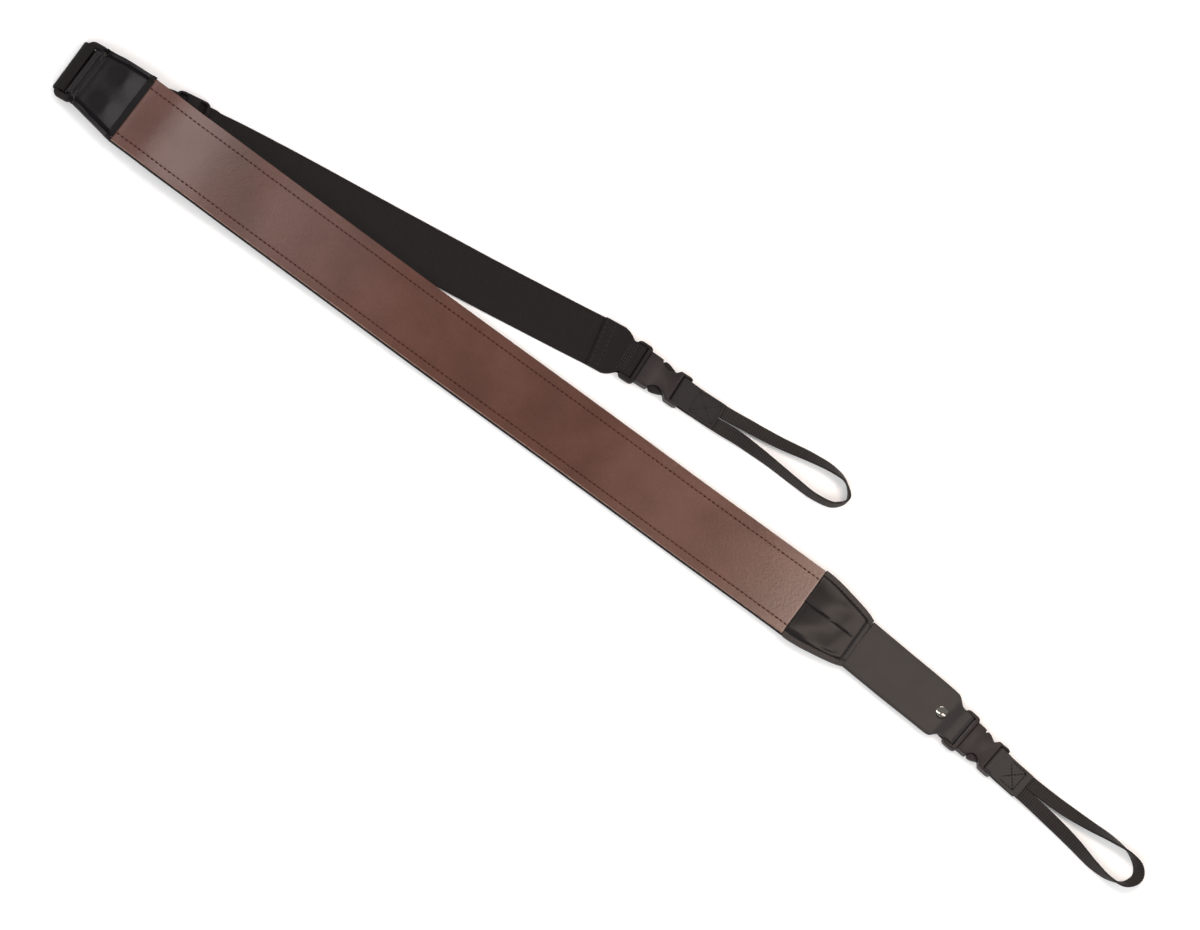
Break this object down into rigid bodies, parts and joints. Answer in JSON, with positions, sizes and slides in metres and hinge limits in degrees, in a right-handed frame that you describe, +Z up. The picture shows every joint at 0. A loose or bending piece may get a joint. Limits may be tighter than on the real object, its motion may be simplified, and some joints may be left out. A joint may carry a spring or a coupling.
{
  "type": "banjo strap",
  "caption": "Padded leather banjo strap lying flat, with a sliding webbing strap, black leather end caps and a quick-release buckle with a webbing loop at each end.",
  "frame": {"origin": "middle of the strap's box as it lies, on the surface that it rests on", "axes": "+X along the pad towards the leather tab and the lower loop, +Y across towards the webbing side, +Z up out of the leather face"},
  "size_m": [0.93, 0.1282, 0.0153],
  "materials": {
    "brown_leather": "smooth glazed leather",
    "backing": "padded black backing",
    "black_leather": "smooth black leather",
    "webbing": "woven polypropylene webbing",
    "loop_webbing": "narrow ribbed webbing",
    "plastic": "moulded acetal",
    "nickel": "polished nickel"
  },
  "bodies": {
    "root": {"pad_face": "brown_leather", "pad_back": "backing", "ring_cap": "black_leather", "tab_cap": "black_leather", "tab": "black_leather", "webbing": "webbing", "upper_loop_tab": "loop_webbing", "upper_loop": "loop_webbing", "lower_loop_tab": "loop_webbing", "lower_loop": "loop_webbing", "ring": "plastic", "tri_glide": "plastic", "upper_latch": "plastic", "upper_socket": "plastic", "lower_latch": "plastic", "lower_socket": "plastic", "rivet": "nickel"}
  },
  "joints": []
}
